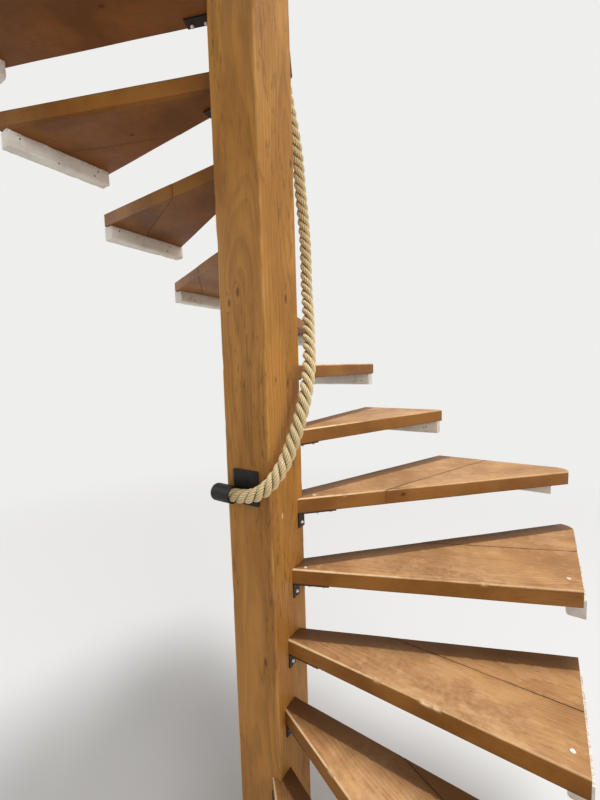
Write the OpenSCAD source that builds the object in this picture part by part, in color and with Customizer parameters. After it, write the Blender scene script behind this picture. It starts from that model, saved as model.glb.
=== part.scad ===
// Winder stair round one square newel post, built inside a square well.
// Origin: centre of the newel's foot on the floor. X and Y run along the newel's
// faces and the walls of the well, Z is up. Sizes are in millimetres.
// The stair climbs anticlockwise seen from above.
// The treads are wedges that butt against the newel. Each one rests on an iron
// angle at the newel and on a batten fixed to the wall.

/* [Flight] */

// Rise from one tread top to the next
riser = 202; // [185:1:220]
// Thickness of a tread
tread_t = 46; // [36:1:55]
// Distance of a nosing in front of its line through the newel's centre
nosing_set = 22; // [15:1:26]
// How far a tread runs back under the nosing of the next one
overlap = 26; // [18:1:36]
// Radius along the top of a nosing
nosing_r = 6; // [2:0.5:12]

/* [Well] */

// Newel centre to the tread ends on the right hand side (plus X)
reach_right = 793; // [650:1:950]
// Newel centre to the tread ends at the back (plus Y)
reach_back = 800; // [650:1:950]
// Newel centre to the tread ends on the left hand side (minus X)
reach_left = 765; // [650:1:950]
// Newel centre to the open front edge of the lowest treads (minus Y)
reach_front = 785; // [650:5:950]
// Radius of the treads in the two back corners of the well
corner_r = 40; // [20:5:90]
// Gap between a tread end and the face of the wall
wall_gap = 10; // [4:1:24]

/* [Newel] */

// Width of the square newel
newel_w = 160; // [150:1:190]
// Radius along the newel's four long edges
newel_r = 5; // [2:0.5:10]
// Height of the newel above the upper floor
newel_above = 900; // [700:10:1100]
// Chamfer round the newel's top
newel_top_chamfer = 8; // [3:1:15]

/* [Battens] */

// Height of a batten
cleat_h = 50; // [35:1:65]
// Width of a batten from the wall towards the newel
cleat_w = 45; // [36:1:65]
// Radius of the batten's lower free edge
cleat_r = 8; // [2:1:15]
// Distance of a batten's front end behind the nosing
cleat_front = 10; // [5:1:40]
// The same distance for the battens on the right hand side
cleat_front_right = 35; // [5:1:60]
// Distance of a batten's other end from the back edge of its tread
cleat_back = 6; // [2:1:60]

/* [First step] */

// Thickness of the upright board under the open edge of the first tread
upright_t = 30; // [20:1:45]
// Distance of the upright board behind the edge of the first tread
upright_set = 10; // [0:1:40]
// Distance of the upright board's end from the back edge of the first tread
upright_end = 24; // [5:1:60]

/* [Angles] */

// Length of an angle's leaf on the newel
leaf_l = 45; // [35:1:60]
// Length of its leaf under the tread, along the nosing
leaf_out = 100; // [60:1:130]
// Width of an angle
leaf_w = 30; // [20:1:30]
// Thickness of an angle
leaf_t = 4; // [2:0.5:6]

/* [Rope] */

// Diameter of the rope
rope_d = 40; // [32:1:44]
// Thickness of the wall round the rope in a rope cup
cup_wall = 4.5; // [3:0.5:8]
// Length of a rope cup
cup_l = 72; // [55:1:90]
// Radius round the closed end of a rope cup
cup_end_r = 12; // [3:1:16]
// Diameter of the neck between plate and cup
neck_d = 22; // [14:1:26]
// Width of the plate behind a rope cup
plate_w = 90; // [80:1:110]
// Height of the plate behind a rope cup
plate_h = 100; // [80:1:120]
// Thickness of the plate
plate_t = 5; // [3:0.5:7]

/* [Hidden] */

// Number of treads below the upper floor
treads = 13;
// Angle between two nosings
turn = 22.5;
// Heading of the line that the first nosing would follow without its turn
heading_zero = -90;
// Clearance of the rope in its cups, on the radius
rope_play = 0.5;
// Play between an angle and the outline of its tread
leaf_inset = 1;
// Radius of the plate's corners
plate_r = 4;
// Treads that stray from the even rule: tread, nosing moved back, top moved up
strays = [[3, 9, 0], [10, 0, -8], [11, -12, 0], [12, 0, 11]];
// Treads cut short where a wall bulges: tread, side of the well, how much
bulges = [[4, 0, 5], [5, 1, 38], [6, 0, 19], [6, 1, 10], [7, 1, 38], [10, 2, 20], [11, 2, 8]];
// Size of the cutters, larger than the well
big = 3000;
// Overrun of a cutter past the face it starts from
eps = 1;

newel_h = newel_w / 2;
upper_floor = riser * (treads + 1);
newel_top = upper_floor + newel_above;
reach = [reach_right, reach_back, reach_left, reach_front];
cup_r = rope_d / 2 + rope_play + cup_wall;

// Centre line of the rope, from the bottom of the lower cup to the bottom of
// the upper one. The first two and the last two points lie on the cups' axes.
rope_route = [
  [-52, -116, 1258], [-22, -116, 1258], [15, -116, 1260], [55, -114, 1270],
  [88, -104, 1292], [110, -84, 1325], [124, -58, 1368], [133, -32, 1422],
  [138, -4, 1480], [135, 28, 1540], [122, 66, 1597], [102, 104, 1650],
  [78, 142, 1702], [52, 184, 1758], [28, 220, 1820], [10, 245, 1888],
  [2, 258, 1960], [-3, 264, 2035], [-8, 264, 2110], [-10, 258, 2170],
  [-7, 246, 2225], [0, 230, 2270], [9, 205, 2308], [17, 176, 2352],
  [20, 150, 2405], [20, 139, 2440], [20, 132, 2475], [20, 128.5, 2503]
];
rope_end = len(rope_route) - 1;
rope_sides = 12;

// Middle of each rope plate along the face of the newel, and its height
lower_plate_at = [-4, 1273];
upper_plate_at = [20, 2510];
// Distance of the neck's axis from the mouth of the cup
neck_from_mouth = 13;

// Every node in the order it stands in the list at the end of this file
numbers = ["01", "02", "03", "04", "05", "06", "07", "08", "09", "10", "11", "12", "13"];

tread_color = [0.62, 0.38, 0.22];
newel_color = [0.72, 0.50, 0.30];
cleat_color = [0.90, 0.89, 0.85];
iron_color = [0.10, 0.10, 0.11];
rope_color = [0.87, 0.81, 0.68];

// Direction in which the line of nosing k leaves the newel
function heading(k) = heading_zero + turn * k;

// What tread k strays by in column i of the list of strays
function stray(k, i) = sum_of([for (row = strays) if (row[0] == k) row[i]]);

// Newel centre to the end of tread k at side s of the well
function reach_of(k, s) =
  reach[s] - sum_of([for (row = bulges) if (row[0] == k && row[1] == s) row[2]]);

// Sum of a list of numbers
function sum_of(list, i = 0) = i < len(list) ? list[i] + sum_of(list, i + 1) : 0;

// Nosing of tread k from its heading line, and the heights of its two faces
function nosing_y(k) = stray(k, 1) - nosing_set;
function top_z(k) = riser * k + stray(k, 2);
function under_z(k) = riser * k - tread_t;

// Side of the well that carries tread k: 0 right, 1 back, 2 left, 3 front
function side_of(k) = floor((k + 2) / 4 + 3) % 4;

// Face of the newel that carries the angle of tread k, numbered like the sides
function face_of(k) = floor((k + 1) / 4 + 3) % 4;

// Angle between nosing line k and a direction square to side s
function skew(k, s) = ((heading(k) - 90 * s + 540) % 360) - 180;

// Where a line parallel to heading line k crosses the plane u = r of side s
function cross_at(k, s, r, off) = r * tan(skew(k, s)) + off / cos(skew(k, s));

// A rectangle with rounded corners, centred
module rounded_rect(w, h, r) {
  square([w, h - 2 * r], center = true);
  square([w - 2 * r, h], center = true);
  for (x = [-1, 1], y = [-1, 1])
    translate([x * (w / 2 - r), y * (h / 2 - r)])
      circle(r, $fn = 64);
}

// Cutter profile that leaves a quarter round of radius r at the origin's corner
module round_off(r) {
  difference() {
    translate([-eps, -r])
      square(r + eps);
    translate([r, -r])
      circle(r, $fn = 64);
  }
}

// Outline of the well at tread k, rounded in the two back corners
module well(k) {
  right = reach_of(k, 0);
  back = reach_of(k, 1);
  left = reach_of(k, 2);
  translate([-left, -reach_front])
    square([left + right, reach_front + back - corner_r]);
  translate([-left + corner_r, 0])
    square([left + right - 2 * corner_r, back]);
  for (x = [-left + corner_r, right - corner_r])
    translate([x, back - corner_r])
      circle(corner_r, $fn = 96);
}

// The wedge between nosing line k and the back edge of tread k, pulled in by inset
module wedge(k, inset) {
  intersection() {
    rotate(heading(k))
      translate([0, nosing_y(k) + inset])
        square(big);
    rotate(heading(k + 1))
      translate([0, overlap - nosing_set - inset - big])
        square(big);
    children();
  }
}

// Tread k: a wedge rounded along its nosing, cut to the well and to the newel
module tread(k) {
  thick = top_z(k) - under_z(k);
  color(tread_color)
    intersection() {
      difference() {
        translate([0, 0, under_z(k)])
          linear_extrude(thick)
            wedge(k, 0)
              square(big, center = true);
        rotate([0, 0, heading(k)])
          translate([-eps, nosing_y(k), top_z(k)])
            rotate([90, 0, 90])
              linear_extrude(big)
                round_off(nosing_r);
      }
      translate([0, 0, under_z(k) - eps])
        linear_extrude(thick + 2 * eps)
          difference() {
            well(k);
            square(newel_w, center = true);
          }
    }
}

// Batten k on the wall under the end of tread k
module cleat(k) {
  s = side_of(k);
  r = reach_of(k, s);
  before = s == 0 ? reach_front : reach_of(k, s - 1) - corner_r;
  after = s == 2 ? reach_front : reach_of(k, s + 1) - corner_r;
  behind = s == 0 ? cleat_front_right : cleat_front;
  from = max(cross_at(k, s, r, nosing_y(k)), -before) + behind;
  to = min(cross_at(k + 1, s, r, overlap - nosing_set) - cleat_back, after);
  color(cleat_color)
    rotate([0, 0, 90 * s])
      translate([r + wall_gap - cleat_w, to, under_z(k)])
        rotate([90, 0, 0])
          linear_extrude(to - from)
            difference() {
              translate([0, -cleat_h])
                square([cleat_w, cleat_h]);
              translate([0, -cleat_h])
                mirror([0, 1])
                  round_off(cleat_r);
            }
}

// Upright board under the open edge of the first tread
module upright() {
  from = cross_at(1, 3, reach_front, nosing_y(1)) + cleat_front;
  to = min(cross_at(2, 3, reach_front, overlap - nosing_set), reach_right) - upright_end;
  color(tread_color)
    translate([from, -reach_front + upright_set, 0])
      cube([to - from, upright_t, under_z(1)]);
}

// Iron angle under the newel end of tread k, with a leaf that follows the nosing
module bracket(k) {
  f = face_of(k);
  a = cross_at(k, f, newel_h, nosing_y(k));
  b = min(newel_h - newel_r / 2, cross_at(k + 1, f, newel_h, overlap - nosing_set));
  middle = a + (leaf_inset + leaf_w / 2) / cos(skew(k, f));
  mid = max(a + leaf_w / 2, min(b - leaf_w / 2, middle));
  z = under_z(k);
  color(iron_color) {
    translate([0, 0, z - leaf_t])
      linear_extrude(leaf_t)
        wedge(k, leaf_inset)
          intersection() {
            rotate(90 * f)
              translate([newel_h, -big / 2])
                square(big);
            rotate(heading(k))
              translate([0, nosing_y(k)])
                square([newel_h / cos(skew(k, f)) + leaf_out, leaf_inset + leaf_w]);
          }
    rotate([0, 0, 90 * f])
      translate([newel_h, mid - leaf_w / 2, z - leaf_l])
        cube([leaf_t, leaf_w, leaf_l]);
  }
}

// The square newel from the floor to above the upper floor
module newel() {
  c = newel_top_chamfer;
  color(newel_color)
    intersection() {
      linear_extrude(newel_top)
        rounded_rect(newel_w, newel_w, newel_r);
      for (a = [0, 90])
        rotate([90, 0, a])
          linear_extrude(newel_w + 2 * eps, center = true)
            polygon([
              [-newel_h - eps, -eps],
              [newel_h + eps, -eps],
              [newel_h + eps, newel_top - c - eps],
              [newel_h - c, newel_top],
              [-newel_h + c, newel_top],
              [-newel_h - eps, newel_top - c - eps]
            ]);
    }
}

// Vector helpers for the rope
function unit(v) = v / norm(v);
function along(p, i) = unit(p[min(i + 1, len(p) - 1)] - p[max(i - 1, 0)]);

// A direction square to the rope at ring i, carried on from ring to ring
function side_dir(p, i) =
  let (v = i == 0 ? [0, 1, 0] : side_dir(p, i - 1), t = along(p, i))
  unit(v - (v * t) * t);

// Corners of ring i of the rope
function ring(p, i, r, n) =
  let (t = along(p, i), u = side_dir(p, i), w = cross(t, u))
  [for (j = [0 : n - 1]) p[i] + r * cos(360 * j / n) * u + r * sin(360 * j / n) * w];

// The rope as one tube along its route
module rope_tube() {
  n = rope_sides;
  rings = rope_end + 1;
  color(rope_color)
    polyhedron(
      points = [for (i = [0 : rope_end]) each ring(rope_route, i, rope_d / 2, n)],
      faces = concat(
        [[for (j = [0 : n - 1]) j]],
        [for (i = [0 : rings - 2], j = [0 : n - 1])
          [i * n + j, (i + 1) * n + j, (i + 1) * n + (j + 1) % n, i * n + (j + 1) % n]],
        [[for (j = [n - 1 : -1 : 0]) (rings - 1) * n + j]]
      ),
      convexity = 6
    );
}

// Body of a cup, mouth at the origin and closed end up the Z axis
module cup_body() {
  rotate_extrude($fn = 96)
    intersection() {
      union() {
        square([cup_r, cup_l - cup_end_r]);
        square([cup_r - cup_end_r, cup_l]);
        translate([cup_r - cup_end_r, cup_l - cup_end_r])
          circle(cup_end_r, $fn = 96);
      }
      square([cup_r, cup_l]);
    }
}

// Turns what stands on the Z axis so that it starts at mouth and points at bottom
module on_axis(mouth, bottom) {
  v = bottom - mouth;
  translate(mouth)
    rotate([0, acos(v[2] / norm(v)), atan2(v[1], v[0])])
      children();
}

// Rope cup with its neck: side is -1 on the front of the newel and 1 at the back
module rope_cup(mouth, bottom, side) {
  back = newel_h + plate_t;
  at = mouth + unit(bottom - mouth) * neck_from_mouth;
  color(iron_color)
    difference() {
      union() {
        on_axis(mouth, bottom)
          cup_body();
        translate([at[0], side * back, at[2]])
          rotate([-90 * side, 0, 0])
            cylinder(h = abs(at[1]) - back, d = neck_d, $fn = 64);
      }
      on_axis(mouth, bottom)
        translate([0, 0, -eps])
          cylinder(h = norm(bottom - mouth) + eps, r = rope_d / 2 + rope_play, $fn = 96);
    }
}

// Plate between a cup's neck and the newel
module rope_plate(at, side) {
  color(iron_color)
    translate([at[0], side * newel_h, at[1]])
      rotate([-90 * side, 0, 0])
        linear_extrude(plate_t)
          rounded_rect(plate_w, plate_h, plate_r);
}

newel();  // newel_post
upright();  // upright_01
tread(1);  // tread_01
tread(2);  // tread_02
tread(3);  // tread_03
tread(4);  // tread_04
tread(5);  // tread_05
tread(6);  // tread_06
tread(7);  // tread_07
tread(8);  // tread_08
tread(9);  // tread_09
tread(10);  // tread_10
tread(11);  // tread_11
tread(12);  // tread_12
tread(13);  // tread_13
cleat(2);  // cleat_02
cleat(3);  // cleat_03
cleat(4);  // cleat_04
cleat(5);  // cleat_05
cleat(6);  // cleat_06
cleat(7);  // cleat_07
cleat(8);  // cleat_08
cleat(9);  // cleat_09
cleat(10);  // cleat_10
cleat(11);  // cleat_11
cleat(12);  // cleat_12
cleat(13);  // cleat_13
bracket(1);  // bracket_01
bracket(2);  // bracket_02
bracket(3);  // bracket_03
bracket(4);  // bracket_04
bracket(5);  // bracket_05
bracket(6);  // bracket_06
bracket(7);  // bracket_07
bracket(8);  // bracket_08
bracket(9);  // bracket_09
bracket(10);  // bracket_10
bracket(11);  // bracket_11
bracket(12);  // bracket_12
bracket(13);  // bracket_13
rope_tube();  // rope
rope_plate(lower_plate_at, -1);  // rope_plate_lower
rope_cup(rope_route[1], rope_route[0], -1);  // rope_cup_lower
rope_plate(upper_plate_at, 1);  // rope_plate_upper
rope_cup(rope_route[rope_end - 1], rope_route[rope_end], 1);  // rope_cup_upper
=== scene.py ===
"""Looks of a winder stair round a square newel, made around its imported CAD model.

Lengths are in metres, from the middle of the newel's foot: Z up, X and Y square to the
newel's faces.
"""

import random
from math import ceil, copysign, cos, exp, pi, radians, sin

import bmesh
import bpy
import numpy as np
from mathutils import Matrix, Vector, noise


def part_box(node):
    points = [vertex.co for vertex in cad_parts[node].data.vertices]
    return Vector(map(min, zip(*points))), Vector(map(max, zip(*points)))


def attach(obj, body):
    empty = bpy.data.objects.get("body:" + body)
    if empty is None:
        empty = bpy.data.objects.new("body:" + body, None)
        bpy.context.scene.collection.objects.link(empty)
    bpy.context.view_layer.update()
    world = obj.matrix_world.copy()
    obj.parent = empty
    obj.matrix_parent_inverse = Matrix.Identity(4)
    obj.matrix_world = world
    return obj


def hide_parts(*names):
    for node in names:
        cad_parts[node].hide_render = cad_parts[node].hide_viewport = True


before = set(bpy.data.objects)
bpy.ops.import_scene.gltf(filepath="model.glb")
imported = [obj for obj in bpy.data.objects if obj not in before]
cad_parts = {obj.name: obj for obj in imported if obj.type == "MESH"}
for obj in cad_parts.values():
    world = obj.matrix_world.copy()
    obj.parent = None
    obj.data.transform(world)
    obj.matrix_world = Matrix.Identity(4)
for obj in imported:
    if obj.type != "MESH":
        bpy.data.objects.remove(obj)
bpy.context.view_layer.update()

# Flight: the same values as in the part's source
TREADS = 13
TURN = radians(22.5)
HEADING_ZERO = radians(-90)
NOSING_SET = 0.022
NOSING_BACK = {3: 0.009, 11: -0.012}
OVERLAP = 0.026
TREAD_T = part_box("tread_04")[1].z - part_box("tread_04")[0].z
NEWEL_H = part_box("newel_post")[1].x
NEWEL_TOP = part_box("newel_post")[1].z

# Camera: place, turn from +Y, tilt down, roll, and lens on a 36 mm wide frame side
CAMERA_AT = (0.692, -0.849, 1.605)
CAMERA_YAW = radians(33.41)
CAMERA_DOWN = radians(4.95)
CAMERA_ROLL = radians(-1.62)
CAMERA_LENS = 16.66


def new_object(name, data):
    """An object in the scene, with its camera, mesh or lamp."""
    obj = bpy.data.objects.new(name, data)
    bpy.context.scene.collection.objects.link(obj)
    return obj


def photo_camera():
    """The camera stands in the well, at the picture's viewing angle."""
    data = bpy.data.cameras.new("camera")
    data.sensor_width = 36
    data.lens = CAMERA_LENS
    data.clip_start = 0.02
    data.clip_end = 200
    camera = new_object("camera", data)
    turn = Matrix.Rotation(CAMERA_YAW, 4, "Z")
    tilt = Matrix.Rotation(radians(90) - CAMERA_DOWN, 4, "X")
    roll = Matrix.Rotation(CAMERA_ROLL, 4, "Z")
    camera.matrix_world = Matrix.Translation(CAMERA_AT) @ turn @ tilt @ roll
    bpy.context.scene.camera = camera


photo_camera()


# Rope: its route is the one in the part's source, from cup bottom to cup bottom
ROPE_D = 0.040
ROPE_ROUTE = [
    (-0.052, -0.116, 1.258), (-0.022, -0.116, 1.258), (0.015, -0.116, 1.260),
    (0.055, -0.114, 1.270), (0.088, -0.104, 1.292), (0.110, -0.084, 1.325),
    (0.124, -0.058, 1.368), (0.133, -0.032, 1.422), (0.138, -0.004, 1.480),
    (0.135, 0.028, 1.540), (0.122, 0.066, 1.597), (0.102, 0.104, 1.650),
    (0.078, 0.142, 1.702), (0.052, 0.184, 1.758), (0.028, 0.220, 1.820),
    (0.010, 0.245, 1.888), (0.002, 0.258, 1.960), (-0.003, 0.264, 2.035),
    (-0.008, 0.264, 2.110), (-0.010, 0.258, 2.170), (-0.007, 0.246, 2.225),
    (0.000, 0.230, 2.270), (0.009, 0.205, 2.308), (0.017, 0.176, 2.352),
    (0.020, 0.150, 2.405), (0.020, 0.139, 2.440), (0.020, 0.132, 2.475),
    (0.020, 0.1285, 2.503),
]
ROPE_STEP = 0.0015
# One turn of the lay: its length at the ends, and how much it opens where the rope hangs free
LAY_LENGTH = 0.088
LAY_OPEN = 0.36
LAY_OPEN_AT = 0.66
LAY_OPEN_SPREAD = 0.22
# Strands: how many, how far from the rope's middle, how thick and how even
STRANDS = 3
STRAND_OFF = 0.0111
STRAND_R = 0.0091
STRAND_UNEVEN = 0.03
# Yarns of a strand: how many, points across one, how far it rises and turns in a metre
YARNS = 6
YARN_POINTS = 4
YARN_RISE = 0.0019
YARN_TURN = 1 / 0.030
AROUND = YARNS * YARN_POINTS
# Flattened end at the lower cup: how far it goes and fades, how much of the grooves is filled
# up to what share of the radius, and where the filling starts and over what it grows
WORN_TO = 0.135
WORN_FADE = 0.060
WORN_FILL = 0.62
WORN_REACH = 0.96
WORN_FROM = 0.55
WORN_OVER = 0.25


def smooth_line(points, step):
    """Points about step apart on a smooth curve through the given points."""
    p = [Vector(q) for q in points]
    p = [2 * p[0] - p[1]] + p + [2 * p[-1] - p[-2]]
    line = []
    for a, b, c, d in zip(p, p[1:], p[2:], p[3:]):
        parts = max(1, round((c - b).length / step))
        for i in range(parts):
            t = i / parts
            line.append(0.5 * (2 * b + (c - a) * t + (2 * a - 5 * b + 4 * c - d) * t ** 2
                               + (3 * b - a - 3 * c + d) * t ** 3))
    line.append(p[-2])
    return line


def frames_along(line):
    """Each point with its tangent and two directions square to it, without twist."""
    side = Vector((0, 1, 0))
    out = []
    for i, p in enumerate(line):
        tangent = (line[min(i + 1, len(line) - 1)] - line[max(i - 1, 0)]).normalized()
        side = (side - side.dot(tangent) * tangent).normalized()
        out.append((p, tangent, side, tangent.cross(side)))
    return out


def smooth_mesh(name, verts, faces):
    """A smoothly shaded mesh from its points and faces."""
    mesh = bpy.data.meshes.new(name)
    mesh.from_pydata([tuple(v) for v in verts], [], faces)
    mesh.shade_smooth()
    return mesh


def tube_faces(first, rings, around):
    """Faces between rings of points that follow one another, the first point given."""
    faces = []
    for ring in range(rings - 1):
        start = first + ring * around
        for j in range(around):
            a, b = start + j, start + (j + 1) % around
            faces.append((a, b, b + around, a + around))
    return faces


def point_values(mesh, name, values):
    """Stores one number or one vector for each point, for the materials to read."""
    values = np.array(values, np.float32)
    kind, key = ("FLOAT", "value") if values.ndim == 1 else ("FLOAT_VECTOR", "vector")
    mesh.attributes.new(name, kind, "POINT").data.foreach_set(key, values.ravel())


def unit(value):
    """A value kept between 0 and 1."""
    return min(1, max(0, value))


def pressed(centre, point, along):
    """A rope point with the grooves partly filled where use flattened its end."""
    worn = unit((WORN_TO - along) / WORN_FADE)
    reach = (point - centre).length / (ROPE_D / 2)
    outer = unit((reach - WORN_FROM) / WORN_OVER)
    wanted = reach + WORN_FILL * worn * outer * (WORN_REACH - reach)
    return centre + (point - centre) * (wanted / reach)


def lay_at(along):
    """Length of one turn of the lay at a distance along the rope."""
    away = (along - LAY_OPEN_AT) / LAY_OPEN_SPREAD
    return LAY_LENGTH * (1 + LAY_OPEN * exp(-away ** 2))


def strand_points(rings, strand):
    """Points of a strand, ring after ring, each with its crest, rib and yarn values."""
    points = []
    along, turned = 0.0, 0.0
    for i, (p, tangent, side, other) in enumerate(rings):
        if i:
            step = (p - rings[i - 1][0]).length
            along += step
            turned += step / lay_at(along)
        turn = 2 * pi * (strand / STRANDS - turned)
        out = cos(turn) * side + sin(turn) * other
        slope = -2 * pi * STRAND_OFF / lay_at(along)
        ahead = (tangent + slope * tangent.cross(out)).normalized()
        across = ahead.cross(out)
        for j in range(AROUND):
            angle = 2 * pi * (j / AROUND + along * YARN_TURN)
            rib = abs(sin(pi * (j % YARN_POINTS) / YARN_POINTS))
            uneven = noise.noise((along * 60, j * 0.9, strand * 5))
            r = STRAND_R * (1 + STRAND_UNEVEN * uneven) - YARN_RISE * (1 - rib)
            q = p + STRAND_OFF * out + r * (cos(angle) * out + sin(angle) * across)
            q = pressed(p, q, along)
            crest = (q - p).length / (ROPE_D / 2)
            points.append((q, crest, rib, (along, j / YARN_POINTS, strand * 7.0)))
    return points


def laid_rope():
    """Three strands laid round one another, each ribbed by its yarns."""
    line = smooth_line(ROPE_ROUTE, ROPE_STEP)
    rings = frames_along(line)
    points, faces = [], []
    for strand in range(STRANDS):
        first = len(points)
        points += strand_points(rings, strand)
        last = len(points) - AROUND
        faces += tube_faces(first, len(rings), AROUND)
        faces.append(tuple(first + j for j in reversed(range(AROUND))))
        faces.append(tuple(last + j for j in range(AROUND)))
    verts, *values = zip(*points)
    mesh = smooth_mesh("rope_laid", verts, faces)
    for key, value in zip(("crest", "rib", "yarn"), values):
        point_values(mesh, key, value)
    obj = new_object("rope_laid", mesh)
    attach(obj, "root")
    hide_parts("rope")
    return obj, line


rope, rope_line = laid_rope()


class Graph:
    """Builds one procedural material or world, node by node."""

    def __init__(self, name, kind="materials"):
        self.made = getattr(bpy.data, kind).new(name)
        self.made.use_nodes = True
        self.tree = self.made.node_tree
        self.shader = self.tree.nodes.get("Principled BSDF")

    def put(self, socket, value):
        """Links an output to a socket, or sets the socket's own value."""
        if isinstance(value, bpy.types.NodeSocket):
            self.tree.links.new(value, socket)
        elif value is not None:
            socket.default_value = value

    def node(self, kind, inputs, **settings):
        """A new node with its inputs, by name or number, and its settings."""
        made = self.tree.nodes.new("ShaderNode" + kind)
        for key, value in settings.items():
            setattr(made, key, value)
        for key, value in inputs.items():
            self.put(made.inputs[key], value)
        return made

    def attribute(self, name):
        return self.node("Attribute", {}, attribute_name=name).outputs["Vector"]

    def number(self, name):
        return self.node("Attribute", {}, attribute_name=name).outputs["Fac"]

    def math(self, operation, a, b=None):
        return self.node("Math", {0: a, 1: b}, operation=operation).outputs[0]

    def times(self, a, *others):
        for b in others:
            a = self.math("MULTIPLY", a, b)
        return a

    def plus(self, a, b):
        return self.math("ADD", a, b)

    def minus(self, a, b):
        return self.math("SUBTRACT", a, b)

    def vector(self, operation, a, b=None):
        second = "Scale" if operation == "SCALE" else 1
        made = self.node("VectorMath", {0: a, second: b}, operation=operation)
        return made.outputs["Value" if operation == "LENGTH" else "Vector"]

    def split(self, vector):
        return tuple(self.node("SeparateXYZ", {0: vector}).outputs)

    def join(self, x, y=0.0, z=0.0):
        return self.node("CombineXYZ", {0: x, 1: y, 2: z}).outputs[0]

    def stretch(self, vector, x, y, z):
        return self.vector("MULTIPLY", vector, (x, y, z))

    def noise(self, vector, scale=1.0, detail=2.0, rough=0.5, output="Fac"):
        return self.node("TexNoise", {"Vector": vector, "Scale": scale,
                         "Detail": detail, "Roughness": rough}).outputs[output]

    def cells(self, vector, scale):
        """Distance to the nearest of scattered points, and a random number of its own."""
        made = self.node("TexVoronoi", {"Vector": vector, "Scale": scale})
        return made.outputs["Distance"], self.split(made.outputs["Color"])[0]

    def between(self, value, low, high, to_low=0.0, to_high=1.0):
        """Maps low..high to to_low..to_high smoothly, clamped."""
        return self.node("MapRange", {0: value, 1: low, 2: high, 3: to_low, 4: to_high},
                         interpolation_type="SMOOTHSTEP").outputs[0]

    def mix(self, factor, a, b, blend="MIX"):
        return self.node("Mix", {"Factor": factor, 6: a, 7: b}, data_type="RGBA",
                         blend_type=blend).outputs[2]

    def shade(self, factor, a, b):
        return self.node("MixShader", {0: factor, 1: a, 2: b}).outputs[0]

    def two_tone(self, share, low, high, one, other):
        """Runs from one 0..255 colour to another while a share goes from low to high."""
        return self.mix(self.between(share, low, high), srgb(one), srgb(other))

    def layers(self, colour, *layers):
        """Lays 0..255 colours over one another: where each lies, how much of it, and which."""
        for share, amount, rgb in layers:
            colour = self.mix(self.times(share, amount), colour, srgb(rgb))
        return colour

    def bump(self, height, distance):
        return self.node("Bump", {"Height": height, "Distance": distance}).outputs[0]

    def finish(self, colour, rough, normal=None, **fixed):
        """Fills in the shader and gives the material."""
        fixed.update(Base_Color=colour, Roughness=rough, Normal=normal)
        for key, value in fixed.items():
            self.put(self.shader.inputs[key.replace("_", " ")], value)
        return self.made


def srgb(rgb):
    """A linear colour from the 0..255 values that a picture shows."""
    shown = [value / 255 for value in rgb]
    return (*(c / 12.92 if c <= 0.04045 else ((c + 0.055) / 1.055) ** 2.4 for c in shown), 1)


# Growth rings: width in the newel and in the boards, and how far they wander
NEWEL_RING = 0.0080
BOARD_RING = 0.0066
RING_WANDER = 0.036
# Reach of a knot in its own radii: where rings start to bend, where its wood starts, and
# where both are full
KNOT_BEND = 3.6
KNOT_WOOD = 1.25
KNOT_CORE = 0.5


def growth(g, coords, ring, push):
    """How late the wood is in its ring, 0 to 1, in a log with its pith on X."""
    slow = g.stretch(coords, 0.5, 1, 1)
    drift = g.vector("SUBTRACT", g.noise(slow, 4.0, 2.0, 0.45, "Color"), (0.5, 0.5, 0.5))
    near = g.vector("ADD", coords, g.vector("SCALE", drift, 2 * RING_WANDER))
    radius = g.vector("LENGTH", g.stretch(near, 0, 1, 1))
    radius = g.plus(radius, g.times(g.split(coords)[0], 0.006))
    uneven = g.noise(g.join(g.times(radius, 45.0)), 1.0, 1.0)
    phase = g.plus(g.math("DIVIDE", radius, ring), g.times(uneven, 2.2))
    turn = g.math("FRACT", g.plus(phase, g.times(push, 2.6)))
    late = g.times(g.between(turn, 0.25, 0.9), g.between(turn, 1.0, 0.93))
    fading = g.between(g.noise(slow, 7.0), 0.35, 0.65, 0.3, 1.0)
    return g.times(late, fading)


def fibre_and_pores(g, coords):
    """Fine fibre and short dark pores along X, each from 0 to 1."""
    fibre = g.noise(g.stretch(coords, 14, 800, 800), 1.0, 3.0, 0.6)
    pores = g.noise(g.stretch(coords, 60, 1300, 1300), 1.0, 1.0)
    return g.between(fibre, 0.3, 0.7), g.between(pores, 0.62, 0.72)


def dark_flecks(g, coords, along, across):
    """Short dark streaks in clusters along the grain, from 0 to 1."""
    fleck = g.noise(g.stretch(coords, along, across, across))
    where = g.noise(g.stretch(coords, 2.5, 9, 9))
    return g.times(g.between(fleck, 0.55, 0.68), g.between(where, 0.42, 0.62))


def knot_at(g, off, radius):
    """How far the rings bend at a way off from a knot, and how dark the wood is there."""
    away = g.math("DIVIDE", g.vector("LENGTH", off), radius)
    return g.between(away, KNOT_BEND, KNOT_CORE), g.between(away, KNOT_WOOD, KNOT_CORE)


# Knots on the newel's faces with the radius of each, their width as a share of their
# length, and a pale nick
NEWEL_KNOTS = [((0.080, 0.020, 1.800), 0.006), ((0.080, 0.018, 1.564), 0.004),
               ((0.080, -0.038, 1.573), 0.0035), ((0.080, 0.064, 2.180), 0.005),
               ((-0.008, -0.080, 1.815), 0.0065), ((-0.041, -0.080, 1.790), 0.005),
               ((0.040, -0.080, 0.760), 0.006), ((0.080, -0.020, 2.900), 0.008),
               ((-0.080, 0.010, 1.100), 0.008), ((0.020, 0.080, 0.800), 0.007)]
NEWEL_KNOT_FLAT = 0.42
NEWEL_NICK = (0.080, -0.029, 1.187)


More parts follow.
